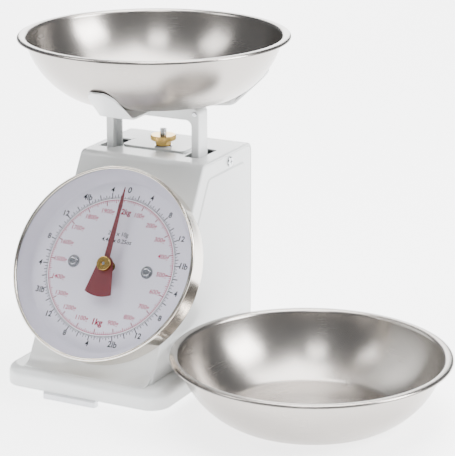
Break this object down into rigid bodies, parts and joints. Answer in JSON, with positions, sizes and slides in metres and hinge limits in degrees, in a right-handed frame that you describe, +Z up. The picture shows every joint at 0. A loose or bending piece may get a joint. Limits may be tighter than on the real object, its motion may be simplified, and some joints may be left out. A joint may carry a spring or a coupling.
{
  "type": "kitchen scale",
  "caption": "Mechanical kitchen scale with a sloping round dial, a two-pillar load bracket, a knurled zero nut and round steel bowls.",
  "frame": {"origin": "on the floor under the middle of the scale's base", "axes": "+Z up, front with the dial towards -Y, +X to the user's right"},
  "size_m": [0.4063, 0.292, 0.2866],
  "materials": {
    "white_enamel": "smooth powder coat",
    "white_foot": "smooth moulded",
    "rubber": "matte",
    "bright_fasteners": "bright zinc",
    "zinc_plate": "zinc plated",
    "polished_steel": "polished",
    "lens": "clear",
    "dial_face": "printed satin enamel",
    "brass": "turned",
    "red_pointer": "satin enamel",
    "spring_steel": "drawn wire",
    "bowl_steel": "satin brushed stainless"
  },
  "bodies": {
    "case": {"base_tray": "white_enamel", "rubber_feet": "rubber", "foot_screws": "bright_fasteners", "front_foot_pad": "white_foot", "case_wrap": "white_enamel", "left_side_panel": "white_enamel", "right_side_panel": "white_enamel", "side_screws": "bright_fasteners", "base_screws": "bright_fasteners", "left_cheek_plate": "zinc_plate", "right_cheek_plate": "zinc_plate", "link_spacers": "bright_fasteners", "upper_link_shaft": "bright_fasteners", "lower_link_shaft": "bright_fasteners", "shaft_clips": "bright_fasteners", "zero_washer": "bright_fasteners", "dial_can": "polished_steel", "bezel_ring": "polished_steel", "dial_lens": "lens", "dial_plate": "dial_face", "dial_posts": "bright_fasteners", "dial_washers": "bright_fasteners", "dial_screws": "bright_fasteners", "movement_plate": "zinc_plate", "movement_bridge": "zinc_plate", "front_bush": "brass", "rear_bush": "brass"},
    "load_carriage": {"load_bracket": "white_enamel", "bracket_rivets": "bright_fasteners", "link_pins": "bright_fasteners", "spring_crossbar": "zinc_plate", "rack_arm": "zinc_plate", "crossbar_rivets": "bright_fasteners", "rack": "brass", "rack_rivets": "bright_fasteners", "bowl_carrier": "white_enamel", "carrier_rivets": "bright_fasteners"},
    "pointer": {"pointer_shaft": "bright_fasteners", "drive_pinion": "brass", "pointer_blade": "red_pointer", "pointer_cap": "brass", "pointer_boss": "brass"},
    "upper_link": {"upper_check_link": "zinc_plate"},
    "lower_link": {"lower_check_link": "zinc_plate"},
    "zero_knob": {"zero_nut": "brass"},
    "spring_hanger": {"zero_stud": "bright_fasteners", "spring_hanger": "zinc_plate", "left_spring": "spring_steel", "right_spring": "spring_steel"},
    "bowl": {"weighing_bowl": "bowl_steel"},
    "second_bowl": {"spare_bowl": "bowl_steel"}
  },
  "joints": [
    {"name": "pan_travel", "type": "slide", "parent": "case", "child": "load_carriage", "axis": [0, 0, -1], "range_m": [0, 0.01451], "stiffness_N_per_m": 1352.1, "springref_m": -0.0045, "deforming": ["left_spring", "right_spring"]},
    {"name": "pointer_turn", "type": "hinge", "parent": "case", "child": "pointer", "pos_m": [0, -0.04437, 0.1], "axis": [0, 0.866, -0.5], "range_deg": [-2, 362]},
    {"name": "upper_link_turn", "type": "hinge", "parent": "case", "child": "upper_link", "pos_m": [0, 0.085, 0.15], "axis": [1, 0, 0], "range_deg": [-1, 16.44]},
    {"name": "lower_link_turn", "type": "hinge", "parent": "case", "child": "lower_link", "pos_m": [0, 0.085, 0.048], "axis": [1, 0, 0], "range_deg": [-1, 16.44]},
    {"name": "zero_nut_turn", "type": "hinge", "parent": "case", "child": "zero_knob", "pos_m": [0, 0.043, 0.19], "axis": [0, 0, 1], "range_deg": [-541, 541]},
    {"name": "hanger_height", "type": "slide", "parent": "case", "child": "spring_hanger", "axis": [0, 0, 1], "range_m": [-0.0015, 0.0015]},
    {"name": "bowl_lift", "type": "slide", "parent": "load_carriage", "child": "bowl", "axis": [0, 0, 1], "range_m": [0, 0.1]},
    {"name": "spare_bowl_shift", "type": "slide", "parent": "case", "child": "second_bowl", "axis": [1, 0, 0], "range_m": [0, 0.15]}
  ],
  "couplings": [
    {"joint": "pointer_turn", "follows": "pan_travel", "rad_per_m": 433.01},
    {"joint": "upper_link_turn", "follows": "pan_travel", "rad_per_m": 18.575},
    {"joint": "lower_link_turn", "follows": "pan_travel", "rad_per_m": 18.575},
    {"joint": "zero_nut_turn", "follows": "hanger_height", "rad_per_m": -6283.2}
  ]
}
